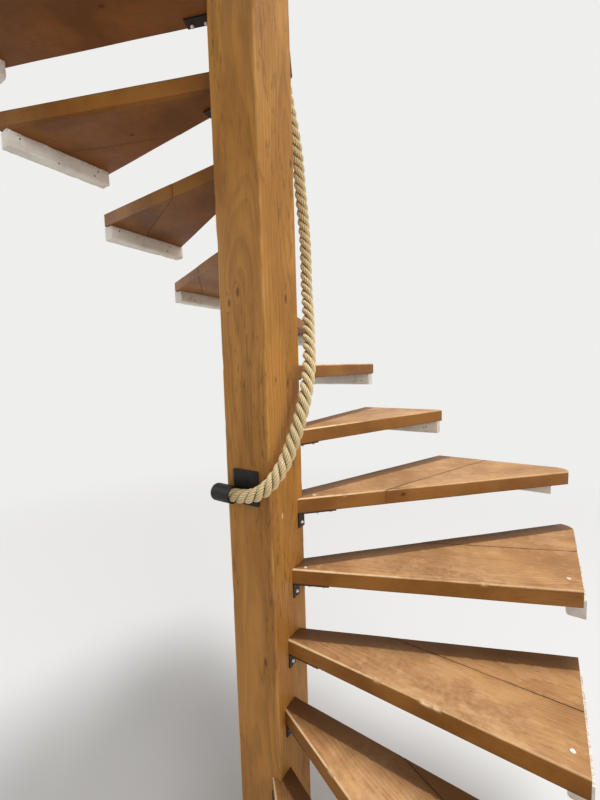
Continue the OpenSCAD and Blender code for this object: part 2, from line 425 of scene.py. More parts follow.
def newel_knots(g, place):
    """How far the rings bend round the newel's knots, and how dark the knots are."""
    push, dark = 0.0, 0.0
    for centre, radius in NEWEL_KNOTS:
        off = g.stretch(g.vector("SUBTRACT", place, centre), 1, 1, NEWEL_KNOT_FLAT)
        bend, core = knot_at(g, off, radius)
        push = g.math("MAXIMUM", bend, push)
        dark = g.math("MAXIMUM", core, dark)
    return push, dark


def newel_damage(g, coords, place):
    """The newel's pale nick and its fine drying cracks, each from 0 to 1."""
    nick = g.stretch(g.vector("SUBTRACT", place, NEWEL_NICK), 1, 1, 0.45)
    split = g.noise(g.stretch(coords, 1.1, 26, 26), 1.0, 1.0)
    split = g.math("ABSOLUTE", g.minus(split, 0.5))
    where = g.noise(g.stretch(coords, 2.6, 11, 11), 1.0, 0.0)
    crack = g.times(g.between(split, 0.004, 0.0012), g.between(where, 0.66, 0.72))
    return g.between(g.vector("LENGTH", nick), 0.005, 0.003), crack


def newel_wood():
    """Brown timber under a thin old varnish, paler along its arrises from wear and a painted
    highlight.
    """
    g = Graph("newel_wood")
    coords, place = g.attribute("grain"), g.attribute("place")
    x, y, z = g.split(place)
    push, knot = newel_knots(g, place)
    late = growth(g, coords, NEWEL_RING, g.times(push, 0.55))
    fibre, pores = fibre_and_pores(g, coords)
    tone = g.noise(g.stretch(coords, 0.3, 1, 1), 10.0, 3.0)
    stain = g.noise(g.stretch(place, 1, 1, 0.3), 15.0, 4.0, 0.62)
    # Paler band along the arrises: partly rubbed wear, partly a painted highlight on the rounded
    # edges
    arris = g.math("MINIMUM", g.math("ABSOLUTE", x), g.math("ABSOLUTE", y))
    arris = g.between(arris, NEWEL_H - 0.008, NEWEL_H - 0.003)
    rubbed = g.times(arris, g.between(stain, 0.62, 0.4))
    sawn = g.between(z, NEWEL_TOP - 0.003, NEWEL_TOP - 0.001)
    nick, crack = newel_damage(g, coords, place)
    colour = g.layers(
        g.two_tone(tone, 0.35, 0.65, (184, 128, 55), (158, 104, 40)),
        (late, 0.42, (112, 68, 24)),
        (dark_flecks(g, coords, 26, 105), 0.62, (98, 60, 22)),
        (fibre, 0.28, (196, 148, 84)),
        (pores, 0.3, (98, 60, 26)),
        (g.between(stain, 0.52, 0.70), 0.3, (120, 76, 30)),
        # Rubbed wear and painted highlight along the arrises
        (rubbed, 0.42, (210, 164, 100)),
        (sawn, 0.6, (142, 100, 52)),
        (g.times(sawn, late), 0.6, (88, 54, 24)),
        (knot, 0.75, (84, 48, 22)),
        (nick, 0.8, (222, 184, 132)),
        (crack, 0.7, (66, 38, 18)))
    height = g.minus(g.times(fibre, 0.5), g.plus(g.times(late, 0.3), g.times(knot, 0.5)))
    height = g.minus(height, g.plus(g.times(crack, 2.5), g.times(nick, 2.0)))
    rough = g.plus(g.between(tone, 0.2, 0.8, 0.44, 0.58), g.times(rubbed, 0.06))
    return g.finish(colour, rough, g.bump(height, 0.0004), Coat_Weight=0.04,
                    Coat_Roughness=0.4, Specular_IOR_Level=0.2)


TREAD_KNOT_R = 0.006


def board_colours(g, own, top, w):
    """Plain board: top paler (wear and painted light), golden brown sides and dark underside
    (painted shade).
    """
    tone = g.noise(g.stretch(own, 0.8, 1, 1), 7.0, 3.0)
    patch = g.noise(g.stretch(own, 0.7, 1, 1), 17.0, 4.0, 0.62)
    # Top colours: partly worn wood, partly painted light from above
    upper = g.layers(g.two_tone(tone, 0.32, 0.68, (190, 145, 97), (160, 117, 72)),
                     (g.between(patch, 0.53, 0.60), 0.36, (212, 168, 120)),
                     (g.between(patch, 0.44, 0.36), 0.3, (142, 98, 56)))
    # Painted shade: fronts darker than the top, undersides darker still
    side = g.two_tone(tone, 0.35, 0.65, (152, 103, 45), (130, 84, 33))
    under = g.two_tone(tone, 0.35, 0.65, (130, 82, 34), (104, 64, 23))
    low = g.between(w, 0.004 - TREAD_T, 0.001 - TREAD_T)
    return g.mix(top, g.mix(low, side, under), upper)


def top_marks(g, place, u, v, top, grime):
    """Top of a tread: painted shadow under the next tread, trodden pale, darkened near the newel,
    specked.
    """
    # Painted shadow of the next tread: dark from about 25 mm in front of its nosing back to this
    # tread's back edge
    shadow_of_next_tread = g.plus(g.number("cover"), g.times(g.minus(grime, 0.5), 0.012))
    shadow_of_next_tread = g.times(top, g.between(shadow_of_next_tread, -OVERLAP, 0.005 - OVERLAP))
    trodden = g.times(top, g.between(u, 0.20, 0.40), g.between(u, 0.78, 0.62),
                      g.between(v, 0.20, 0.02), g.between(grime, 0.3, 0.7))
    # Darker patches on the top near the newel
    darkened = g.times(top, g.between(u, 0.19, 0.10), g.between(grime, 0.3, 0.6))
    spot, draw = g.cells(place, 30.0)
    speck = g.times(top, g.between(spot, 0.07, 0.04), g.between(draw, 0.72, 0.74))
    # Painted shadow first, then trodden wear, darker patches near the newel, and specks
    return ((shadow_of_next_tread, 0.85, (96, 62, 32)), (trodden, 0.34, (218, 180, 138)),
            (darkened, 0.4, (98, 66, 40)), (speck, 0.6, (74, 46, 26)))


def nosing_and_seam(g, u, v, w, top, grime):
    """Where the nosing is pale (chips, wear and a painted highlight), and where the glue line is
    dark.
    """
    # Pale line along the nosing's upper edge: partly rubbed wear, partly a painted highlight;
    # chips show real pale wood
    pale = g.times(g.between(g.minus(v, w), 0.0060, 0.0040), g.between(w, -0.0058, -0.0030),
                   g.between(grime, 0.28, 0.5, 0.4, 0.95), g.between(u, 0.75, 0.45, 0.4, 1.0))
    pale = g.math("MAXIMUM", pale, g.times(g.number("chipped"), 0.85))
    seam = g.math("ABSOLUTE", g.number("seam"))
    line = g.times(g.between(seam, 0.0022, 0.0009), g.plus(g.times(top, 0.70), 0.07))
    dirty = g.times(top, g.between(seam, 0.010, 0.001), g.between(grime, 0.42, 0.62), 0.4)
    return pale, g.math("MAXIMUM", line, dirty)


def tread_wood():
    """Tan boards: worn tops with painted light, golden brown fronts and dark undersides with
    painted shade.
    """
    g = Graph("tread_wood")
    coords, place = g.attribute("grain"), g.attribute("place")
    board = g.number("board")
    own = g.vector("ADD", place, g.join(board, board, board))
    u, v, w = g.split(place)
    top = g.between(w, -0.0042, -0.0020)
    grime = g.noise(own, 46.0, 4.0, 0.68)
    bend, knot = knot_at(g, g.stretch(g.attribute("knot"), 0.6, 1, 1), TREAD_KNOT_R)
    late = growth(g, coords, BOARD_RING, bend)
    fibre, pores = fibre_and_pores(g, coords)
    pale, dark = nosing_and_seam(g, u, v, w, top, grime)
    colour = g.layers(board_colours(g, own, top, w),
                      (late, g.plus(g.times(top, 0.14), 0.2), (108, 66, 28)),
                      (dark_flecks(g, coords, 20, 190), 0.3, (96, 60, 28)))
    colour = g.mix(g.times(fibre, 0.2), colour, srgb((206, 160, 112)), "SOFT_LIGHT")
    colour = g.layers(colour, (pores, 0.4, (84, 52, 28)),
                      *top_marks(g, place, u, v, top, grime),
                      # Pale nosing: chips, rubbed wear and a painted highlight
                      (pale, 1.0, (232, 198, 152)),
                      (dark, 1.0, (62, 38, 22)),
                      (knot, 0.85, (84, 38, 18)))
    height = g.minus(g.times(fibre, 0.5), g.plus(g.times(late, 0.25), g.times(pores, 0.4)))
    height = g.plus(height, g.times(grime, 0.7))
    rough = g.minus(g.times(pale, 0.15), g.times(top, 0.03))
    rough = g.plus(g.between(grime, 0.3, 0.8, 0.46, 0.62), rough)
    return g.finish(colour, rough, g.bump(height, 0.00035), Coat_Weight=0.03,
                    Coat_Roughness=0.4, Specular_IOR_Level=0.18)


def white_paint():
    """White wall paint brushed over sawn battens, thin and soiled along their edges."""
    g = Graph("white_paint")
    coords = g.attribute("grain")
    brush = g.noise(g.stretch(coords, 14, 420, 420))
    lumps = g.noise(coords, 130.0, 4.0, 0.6)
    dirt = g.noise(coords, 11.0, 4.0, 0.65)
    rubbed = g.times(g.number("chipped"), g.between(lumps, 0.45, 0.55))
    colour = g.layers(
        g.two_tone(dirt, 0.42, 0.72, (228, 224, 214), (204, 197, 184)),
        (g.between(lumps, 0.66, 0.78), 0.35, (168, 154, 132)),
        (rubbed, 0.75, (158, 124, 84)))
    height = g.plus(g.times(brush, 0.7), lumps)
    return g.finish(colour, g.between(lumps, 0.3, 0.7, 0.5, 0.68), g.bump(height, 0.0006))


def dark_iron():
    """Brownish black paint on iron, rubbed and dusty in places."""
    g = Graph("dark_iron")
    coords = g.node("TexCoord", {}).outputs["Object"]
    lumps = g.noise(coords, 170.0, 4.0, 0.6)
    rub = g.noise(coords, 38.0, 4.0, 0.62)
    colour = g.layers(
        g.two_tone(rub, 0.42, 0.62, (20, 16, 12), (30, 24, 18)),
        (g.between(rub, 0.64, 0.76), 0.6, (58, 46, 34)))
    return g.finish(colour, g.between(lumps, 0.3, 0.7, 0.36, 0.58), g.bump(lumps, 0.0005),
                    Specular_IOR_Level=0.3)


def screw_steel():
    """Bright plated screw heads, a little tarnished."""
    g = Graph("screw_steel")
    coords = g.node("TexCoord", {}).outputs["Object"]
    stain = g.noise(coords, 260.0, 3.0, 0.6)
    colour = g.two_tone(stain, 0.4, 0.7, (240, 236, 228), (176, 164, 146))
    return g.finish(colour, g.between(stain, 0.3, 0.7, 0.24, 0.42), g.bump(stain, 0.0001),
                    Metallic=0.35)


def rope_fibre():
    """Cream fibre with painted shade between the strands and the yarns, dirty where it enters the
    lower cup.
    """
    g = Graph("rope_fibre")
    along, number, strand = g.split(g.attribute("yarn"))
    crest, rib = g.number("crest"), g.number("rib")
    hairs = g.noise(g.join(g.times(along, 60.0), g.times(number, 9.0), strand), 1.0, 3.0, 0.6)
    tuft = g.noise(g.join(g.times(along, 170.0), g.times(number, 1.6), strand))
    aged = g.noise(g.join(g.times(along, 5.0)))
    colour = g.layers(
        g.two_tone(hairs, 0.3, 0.7, (222, 196, 142), (242, 224, 176)),
        (g.between(tuft, 0.52, 0.72), 0.5, (188, 160, 110)),
        (g.between(aged, 0.4, 0.7), 0.3, (190, 162, 116)),
        (g.between(along, 0.085, 0.040), 0.5, (168, 138, 100)),
        # Painted shade: darker in the hollows between the yarns and in the grooves between the
        # strands
        (g.between(rib, 0.85, 0.10), 0.65, (150, 120, 74)),
        (g.between(crest, 0.86, 0.50), 1.0, (150, 118, 70)))
    height = g.plus(hairs, g.times(tuft, 0.6))
    return g.finish(colour, g.between(hairs, 0.3, 0.7, 0.74, 0.88), g.bump(height, 0.0009),
                    Sheen_Weight=0.2, Sheen_Roughness=0.5)


MATERIALS = {make.__name__: make() for make in (newel_wood, tread_wood, white_paint, dark_iron,
                                                rope_fibre, screw_steel)}


def paint(obj, slot):
    """Gives a piece or a CAD node one material on all its faces."""
    obj.data.materials.clear()
    obj.data.materials.append(MATERIALS[slot])


def piece(name, mesh, slot):
    """A piece in one material, on the one body."""
    obj = new_object(name, mesh)
    paint(obj, slot)
    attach(obj, "root")
    return obj


paint(rope, "rope_fibre")

# Stray fibres on the rope, and longer ones where it enters the upper cup
HAIRS = 420
FRAYED = 34
HAIR_R = 0.00016
HAIR_ROOT = 0.0015
HAIR_STEPS = 4
HAIR_CORNERS = 3


def hair_points(start, out, tangent, lean, length, lift):
    """Points of one fibre: it leaves the rope along lean and curls outward to its thin tip."""
    points = []
    for step in range(HAIR_STEPS + 1):
        t = step / HAIR_STEPS
        q = start + length * (t * lean.normalized() * 0.9 + (0.1 + lift * t * t) * out * t)
        r = HAIR_R * (1 - 0.8 * t)
        for corner in range(HAIR_CORNERS):
            turn = 2 * pi * corner / HAIR_CORNERS
            points.append(q + r * (cos(turn) * out + sin(turn) * tangent.cross(out)))
    return points


def rope_hairs(line):
    """Thin tapered fibres that stand off the rope."""
    draw = random.Random(11)
    rings = frames_along(line)
    mouth = min(range(len(line)), key=lambda i: (line[i] - Vector(ROPE_ROUTE[-2])).length)
    verts, faces, yarn = [], [], []
    for n in range(HAIRS + FRAYED):
        frayed = n >= HAIRS
        i = mouth - draw.randint(2, 22) if frayed else draw.randint(24, mouth - 4)
        p, tangent, side, other = rings[i]
        angle = draw.uniform(0, 2 * pi)
        out = cos(angle) * side + sin(angle) * other
        length = draw.uniform(0.012, 0.026) if frayed else draw.uniform(0.004, 0.009)
        lift = draw.uniform(0.1, 0.3) if frayed else draw.uniform(0.2, 0.6)
        lean = draw.choice((-1, 1)) * tangent + draw.uniform(-0.6, 0.6) * tangent.cross(out)
        start = p + out * (ROPE_D / 2 - HAIR_ROOT)
        faces += tube_faces(len(verts), HAIR_STEPS + 1, HAIR_CORNERS)
        verts += hair_points(start, out, tangent, lean, length, lift)
        yarn += [(n * 0.37, n * 0.11, 0.0)] * ((HAIR_STEPS + 1) * HAIR_CORNERS)
    mesh = smooth_mesh("rope_hairs", verts, faces)
    point_values(mesh, "yarn", yarn)
    for key in ("crest", "rib"):
        point_values(mesh, key, [1.0] * len(verts))
    piece("rope_hairs", mesh, "rope_fibre")


rope_hairs(rope_line)


def solid_of(node, to_local):
    """The CAD node's closed mesh with flat faces joined, in a local frame."""
    bm = bmesh.new()
    bm.from_mesh(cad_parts[node].data)
    bmesh.ops.remove_doubles(bm, verts=bm.verts, dist=2e-5)
    bmesh.ops.dissolve_limit(bm, angle_limit=radians(0.6), verts=bm.verts, edges=bm.edges)
    bm.transform(to_local)
    return bm


def keep_side(bm, point, normal):
    """Cuts a solid at a plane, keeps what lies against the normal and closes the cut."""
    geometry = bm.verts[:] + bm.edges[:] + bm.faces[:]
    bmesh.ops.bisect_plane(bm, geom=geometry, dist=1e-6, plane_co=point, plane_no=normal,
                           clear_outer=True)
    rim = [e for e in bm.edges if len(e.link_faces) == 1]
    bmesh.ops.contextual_create(bm, geom=rim)
    bmesh.ops.recalc_face_normals(bm, faces=bm.faces)


def ease_edges(bm, width, segments=2, least=radians(28)):
    """Rounds the edges between faces that meet at more than an angle."""
    sharp = [e for e in bm.edges if len(e.link_faces) == 2 and e.calc_face_angle() > least]
    bmesh.ops.bevel(bm, geom=sharp, offset=width, segments=segments, profile=0.5,
                    affect="EDGES", clamp_overlap=True)


def cut_across(bm, axis, at, within=None):
    """Cuts the faces that a plane across an axis meets, or those of them that within picks."""
    normal = Vector((0, 0, 0))
    normal[axis] = 1
    faces = [f for f in bm.faces
             if min(v.co[axis] for v in f.verts) < at < max(v.co[axis] for v in f.verts)
             and (within is None or within(f.calc_center_median()))]
    edges = {e for f in faces for e in f.edges}
    verts = {v for f in faces for v in f.verts}
    bmesh.ops.bisect_plane(bm, geom=list(verts) + list(edges) + faces, dist=1e-6,
                           plane_co=normal * at, plane_no=normal)


def slice_up(bm, axis, start, stop, step, within=None):
    """Cuts across a solid at even steps along an axis, so that it can be bent."""
    cuts = max(1, ceil((stop - start) / step))
    for i in range(1, cuts):
        cut_across(bm, axis, start + i * (stop - start) / cuts, within)


def bend_surface(bm, seed, amount, coarse):
    """Moves the surface in and out a little, like that of worked timber."""
    bm.normal_update()
    offset = Vector((seed * 3.1, seed * 1.7, seed * 0.9))
    for v in bm.verts:
        v.co += v.normal * amount * noise.noise(v.co * coarse + offset)


def even_shading(mesh):
    """Point normals weighted by face area, which keeps flat faces flat."""
    mesh.shade_smooth()
    faces = len(mesh.polygons)
    area, normal = np.zeros(faces), np.zeros(faces * 3)
    loops, corner = np.zeros(faces, np.int32), np.zeros(len(mesh.loops), np.int32)
    mesh.polygons.foreach_get("area", area)
    mesh.polygons.foreach_get("normal", normal)
    mesh.polygons.foreach_get("loop_total", loops)
    mesh.loops.foreach_get("vertex_index", corner)
    total = np.zeros((len(mesh.vertices), 3))
    np.add.at(total, corner, np.repeat(normal.reshape(-1, 3) * area[:, None], loops, axis=0))
    total /= np.maximum(np.linalg.norm(total, axis=1, keepdims=True), 1e-12)
    mesh.normals_split_custom_set_from_vertices(total.tolist())


# Where the pith of a board may lie: along it, to its side and above it
PITH = ((-9, 9), (-0.10, 0.10), (0.06, 0.13))
# What a material reads at a plain point
PLAIN = {"chipped": 0.0, "seam": 1.0, "cover": -1.0, "knot": (1.0, 1.0, 1.0)}


def timber(name, bm, to_world, slot, seed, grain_axis=0, pith=None, **extra):
    """A wooden piece with the values that its material reads at each point."""
    mesh = bpy.data.meshes.new(name)
    bm.to_mesh(mesh)
    bm.free()
    local = np.zeros(len(mesh.vertices) * 3)
    mesh.vertices.foreach_get("co", local)
    local = local.reshape(-1, 3)
    mesh.transform(to_world)
    even_shading(mesh)
    draw = random.Random(seed)
    if pith is None:
        pith = [draw.uniform(*reach) for reach in PITH]
    point_values(mesh, "grain", np.roll(local, -grain_axis, axis=1) + np.array(pith))
    point_values(mesh, "board", np.full(len(local), seed * 0.37))
    point_values(mesh, "place", extra["place"](local) if "place" in extra else local)
    for key, plain in PLAIN.items():
        values = np.ones((len(local),) + np.shape(plain)) * plain
        point_values(mesh, key, extra[key](local) if key in extra else values)
    return piece(name, mesh, slot)


def heading(k):
    """Direction in which the nosing line of tread k leaves the newel."""
    return HEADING_ZERO + TURN * k


def nosing_y(k):
    """Nosing of tread k from its heading line."""
    return NOSING_BACK.get(k, 0) - NOSING_SET


def tread_frame(k):
    """Frame of tread k: X along its nosing, Y behind the nosing, Z from its top."""
    turn = Matrix.Rotation(heading(k), 4, "Z")
    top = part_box("tread_%02d" % k)[1].z
    return turn @ Matrix.Translation((0, nosing_y(k), top))


# Glue line of each tread: its distance from the nosing, or from the back edge
GLUE = {1: 0.190, 2: 0.205, 3: 0.175, 4: 0.165, 5: 0.222, 6: 0.168, 7: 0.178, 8: 0.160,
        9: 0.175, 10: 0.210, 11: 0.170, 12: 0.150, 13: 0.195}
GLUE_FROM_BACK = (6, 9, 12)
# Opening of a glue line at this distance from the newel's middle
GLUE_OPEN = 0.0015
GLUE_REACH = 0.75
# Chips in a nosing: distance from the newel's middle, half length and depth
CHIPS = {4: [(0.476, 0.016, 0.0050), (0.502, 0.012, 0.0036), (0.355, 0.012, 0.0016)],
         5: [(0.610, 0.012, 0.0015)], 6: [(0.240, 0.010, 0.0014)], 3: [(0.300, 0.014, 0.0020)],
         9: [(0.420, 0.012, 0.0018)], 11: [(0.380, 0.014, 0.0024)]}
# A knot in some treads: its place in the tread's frame
TREAD_KNOTS = {6: (0.437, 0.0, -0.020), 8: (0.520, 0.070, 0.0), 12: (0.450, 0.090, -0.057),
               10: (0.560, 0.0, -0.018), 13: (0.380, 0.110, -0.046), 2: (0.610, 0.130, 0.0)}
# Wear of a nosing: where it is deepest and its spread, its depth there and elsewhere, and
# how far it and a chip reach behind and below the edge
WALK_LINE = 0.50
WALK_SPREAD = 0.2
NOSE_WEAR = 0.0012
NOSE_RUB = 0.0004
NOSE_DEEP = 0.016
CHIP_DEEP = 0.009
# A chip's pale wood: how far it reaches from the edge, and the depth that shows it in full
CHIP_PALE = 0.010
CHIP_FULL = 0.0016
# Share of the wear that goes back, and down
WEAR_SHARE = 0.75
# Boards: eased edges, unevenness, steps of the cuts across them, and of those at the nosing
BOARD_EASE = 0.0010
BOARD_UNEVEN = 0.0006
BOARD_STEP = 0.028
NOSE_STEP = 0.0045
NOSE_ROWS = 0.004


def chip_depth(k, x):
    """Depth of the chips in nosing k at a distance from the newel's middle."""
    depth = 0.0
    for centre, half, deepest in CHIPS.get(k, []):
        ragged = 1 + 0.5 * noise.noise((x * 190, k, centre * 7))
        depth += deepest * max(0, 1 - ((x - centre) / half) ** 2) * ragged
    return depth


def wear_nosing(bm, k):
    """Rubs the nosing down, most where people walk, and breaks out its chips."""
    for v in bm.verts:
        x, y, z = v.co
        if y > NOSE_DEEP or z < -NOSE_DEEP:
            continue
        close = (1 - max(y, 0) / NOSE_DEEP) * (1 + z / NOSE_DEEP)
        rub = NOSE_WEAR * exp(-((x - WALK_LINE) / WALK_SPREAD) ** 2)
        rub += NOSE_RUB * (0.5 + noise.noise((x * 30, k * 5.3, 0)))
        near = max(0.0, 1 - max(y, -z) / CHIP_DEEP)
        rub = rub * close + chip_depth(k, x) * near
        v.co.z -= rub * WEAR_SHARE
        v.co.y += rub * WEAR_SHARE


def by_nosing(centre):
    """Whether a face is close to the upper edge of the nosing."""
    return centre.y < NOSE_DEEP and centre.z > -NOSE_DEEP


def places_on_tread(k, point, square):
    """What the material reads at each point of a board of tread k."""
    next_tread = np.array(Matrix.Rotation(-TURN, 3, "Z"))
    newel = np.array((0, -nosing_y(k), 0))

    def chipped(local):
        depth = np.array([chip_depth(k, x) for x in local[:, 0]])
        near = np.clip(1 - np.maximum(local[:, 1], -local[:, 2]) / CHIP_PALE, 0, 1)
        return np.clip(depth * near / CHIP_FULL, 0, 1)

    return {"seam": lambda local: (local - np.array(point)) @ np.array(square),
            "cover": lambda local: ((local - newel) @ next_tread.T)[:, 1] - nosing_y(k + 1),
            "knot": lambda local: local - np.array(TREAD_KNOTS.get(k, (9, 9, 9))),
            "chipped": chipped}


def make_tread(k):
    """The two glued boards of tread k."""
    name = "tread_%02d" % k
    to_world = tread_frame(k)
    to_local = to_world.inverted()
    from_back = k in GLUE_FROM_BACK
    turn = Matrix.Rotation(TURN if from_back else 0, 3, "Z")
    point = Vector((0, GLUE[k], 0))
    if from_back:
        newel = Vector((0, -nosing_y(k), 0))
        point = newel + turn @ Vector((0, OVERLAP - NOSING_SET - GLUE[k], 0))
    run, square = turn @ Vector((1, 0, 0)), turn @ Vector((0, 1, 0))
    opening = GLUE_OPEN / 2 / GLUE_REACH
    for part, sign in (("front", 1), ("back", -1)):
        bm = solid_of(name, to_local)
        keep_side(bm, point, square * sign + run * opening)
        ease_edges(bm, BOARD_EASE)
        low = [min(v.co[i] for v in bm.verts) for i in (0, 1)]
        high = [max(v.co[i] for v in bm.verts) for i in (0, 1)]
        slice_up(bm, 0, low[0], high[0], BOARD_STEP)
        slice_up(bm, 1, low[1], high[1], BOARD_STEP)
        bend_surface(bm, k + 0.37 * sign, BOARD_UNEVEN, 7.0)
        for axis, start, stop in ((2, -NOSE_DEEP, 0), (1, 0, NOSE_DEEP)):
            cut_across(bm, axis, start + stop)
            slice_up(bm, axis, start, stop, NOSE_ROWS, by_nosing)
        slice_up(bm, 0, low[0], high[0], NOSE_STEP, by_nosing)
        wear_nosing(bm, k)
        timber(name + "_" + part, bm, to_world, "tread_wood", 40 + 2 * k + sign,
                           **places_on_tread(k, point, square))
    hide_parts(name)


for number in range(1, TREADS + 1):
    make_tread(number)

NEWEL_PITH = (0.0, -0.010, -0.050)
NEWEL_EASE = 0.0015
NEWEL_UNEVEN = 0.0008
# Steps of the cuts up the newel and across its faces
NEWEL_STEP = 0.018
NEWEL_ROWS = 0.032
# Share of the newel's half width from which its faces are dented
ARRIS_FROM = 0.9
# Deepest dent in the edge of a timber
DENT = 0.004


def press_in(v, axes, share):
    """Presses a point of a timber towards its middle by a share of the deepest dent."""
    for axis in axes:
        v.co[axis] -= copysign(DENT * share, v.co[axis])


def make_newel():
    """The newel with worked faces and softened, dented arrises."""
    bm = solid_of("newel_post", Matrix.Identity(4))
    ease_edges(bm, NEWEL_EASE, least=radians(40))
    slice_up(bm, 2, 0, NEWEL_TOP, NEWEL_STEP)
    slice_up(bm, 0, -NEWEL_H, NEWEL_H, NEWEL_ROWS)
    slice_up(bm, 1, -NEWEL_H, NEWEL_H, NEWEL_ROWS)
    for v in bm.verts:
        corner = max(0, min(abs(v.co.x), abs(v.co.y)) / NEWEL_H - ARRIS_FROM)
        dent = max(0, noise.noise((v.co.x * 9, v.co.y * 9, v.co.z * 19)) - 0.25)
        press_in(v, (0, 1), corner / (1 - ARRIS_FROM) * dent)
    bend_surface(bm, 5.0, NEWEL_UNEVEN, 3.0)
    obj = timber("newel_timber", bm, Matrix.Identity(4), "newel_wood", 7, grain_axis=2,
                 pith=NEWEL_PITH)
    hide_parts("newel_post")


make_newel()


def side_frame(node):
    """Frame of a straight timber: X along its longer level side, from its middle."""
    low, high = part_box(node)
    size = high - low
    turn = 0 if size.x > size.y else radians(90)
    return Matrix.Translation((low + high) / 2) @ Matrix.Rotation(turn, 4, "Z")


# Straight timbers: steps of the cuts along and across, width of a nicked and a rubbed edge
STRAIGHT_STEP = 0.010
STRAIGHT_ROWS = 0.020
EDGE_NICKED = 0.006
EDGE_RUBBED = 0.005


def make_straight(node, slot, seed, ease, amount):
    """A batten or an upright board: eased, nicked and a little uneven."""
    to_world = side_frame(node)
    bm = solid_of(node, to_world.inverted())
    half = [max(v.co[i] for v in bm.verts) for i in range(3)]
    ease_edges(bm, ease, 3)
    for v in bm.verts:
        v.co = [max(-reach, min(reach, value)) for reach, value in zip(half, v.co)]
    slice_up(bm, 0, -half[0], half[0], STRAIGHT_STEP)
    for axis in (1, 2):
        slice_up(bm, axis, -half[axis], half[axis], STRAIGHT_ROWS)
    for v in bm.verts:
        inward = half[1] + half[2] - abs(v.co.y) - abs(v.co.z)
        nick = max(0, noise.noise(v.co * 55 + Vector((seed, 0, 0))) - 0.2)
        press_in(v, (1, 2), max(0, 1 - inward / EDGE_NICKED) * nick)
    bend_surface(bm, seed, amount, 16.0)

    def edges_at(local):
        inward = half[1] + half[2] - np.abs(local[:, 1]) - np.abs(local[:, 2])
        return np.clip(1 - inward / EDGE_RUBBED, 0, 1)

    def side_only(local):
        return local * (1, 1, 0) + (0, 0.5, -TREAD_T / 2)

    obj = timber(node + "_timber", bm, to_world, slot, seed, chipped=edges_at, place=side_only)
    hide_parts(node)


for number in range(2, TREADS + 1):
    make_straight("cleat_%02d" % number, "white_paint", 70 + number, 0.0014, 0.0010)
make_straight("upright_01", "tread_wood", 99, 0.0015, 0.0006)

# Profiles of a round and a flat screw head: share of the radius, then share of the rise
ROUND_HEAD = [(0.0, 1.0), (0.18, 0.99), (0.34, 0.95), (0.50, 0.88), (0.66, 0.77), (0.80, 0.62),
              (0.91, 0.42), (0.98, 0.20), (1.0, -0.05)]
FLAT_HEAD = [(0.0, 1.0), (0.2, 1.0), (0.4, 1.0), (0.6, 0.99), (0.78, 0.97), (0.9, 0.9),
             (0.97, 0.7), (1.0, 0.3), (1.0, -0.2)]
HEAD_CORNERS = 28
# Recess of a head: least radius that has one, its half width and length, softness, depth
RECESS_LEAST = 0.0034
RECESS_HALF = (0.11, 0.62)
RECESS_SOFT = 0.06
RECESS_DEEP = 0.3
# Radius and rise of the heads
ANGLE_SCREW = (0.0054, 0.0060)
TREAD_SCREW = (0.0054, 0.0012)
PLATE_SCREW = (0.0044, 0.0010)
NAIL = (0.0026, 0.0008)


def recess_depth(x, y, slotted):
    """How much of a head's recess lies at a place: 1 inside, 0 outside."""
    def bar(*place):
        inside = [unit((half - abs(p)) / RECESS_SOFT + 0.5) for p, half in zip(place, RECESS_HALF)]
        return inside[0] * inside[1]
    return bar(x, y) if slotted else max(bar(x, y), bar(y, x))


def head_points(at, normal, size, profile, turned, slotted):
    """Points of one head, ring after ring from its middle to its edge."""
    radius, rise = size
    normal = Vector(normal).normalized()
    one = normal.orthogonal().normalized()
    two = normal.cross(one)
    c, s = cos(turned), sin(turned)
    points = []
    for share, height in profile:
        for j in range(HEAD_CORNERS):
            angle = 2 * pi * j / HEAD_CORNERS
            x, y = share * cos(angle), share * sin(angle)
            z = height * rise
            if radius > RECESS_LEAST:
                z -= RECESS_DEEP * rise * recess_depth(x, y, slotted)
            flat = (c * x - s * y) * one + (s * x + c * y) * two
            points.append(Vector(at) + radius * flat + z * normal)
    return points


def screw_heads(name, spots, size, profile, slot, slotted=False):
    """Screw or nail heads as one piece: each spot is a place and an outward normal."""
    draw = random.Random(name)
    verts, faces = [], []
    for at, normal in spots:
        faces += tube_faces(len(verts), len(profile), HEAD_CORNERS)
        verts += head_points(at, normal, size, profile, draw.uniform(0, pi), slotted)
    mesh = smooth_mesh(name, verts, faces)
    bm = bmesh.new()
    bm.from_mesh(mesh)
    bmesh.ops.remove_doubles(bm, verts=bm.verts, dist=1e-6)
    bmesh.ops.recalc_face_normals(bm, faces=bm.faces)
    bm.to_mesh(mesh)
    bm.free()
    piece(name, mesh, slot)


# Screws of an angle: below its top on the newel, and out from the newel along the nosing
SCREW_DOWN = 0.030
SCREWS_OUT = (0.042, 0.084)
SCREW_BEHIND = 0.008
LEAF_T = 0.004


def face_normal(k):
    """Outward direction of the newel face that carries the angle of tread k."""
    turn = radians(90) * (((k + 1) // 4 + 3) % 4)
    return Vector((round(cos(turn)), round(sin(turn)), 0))


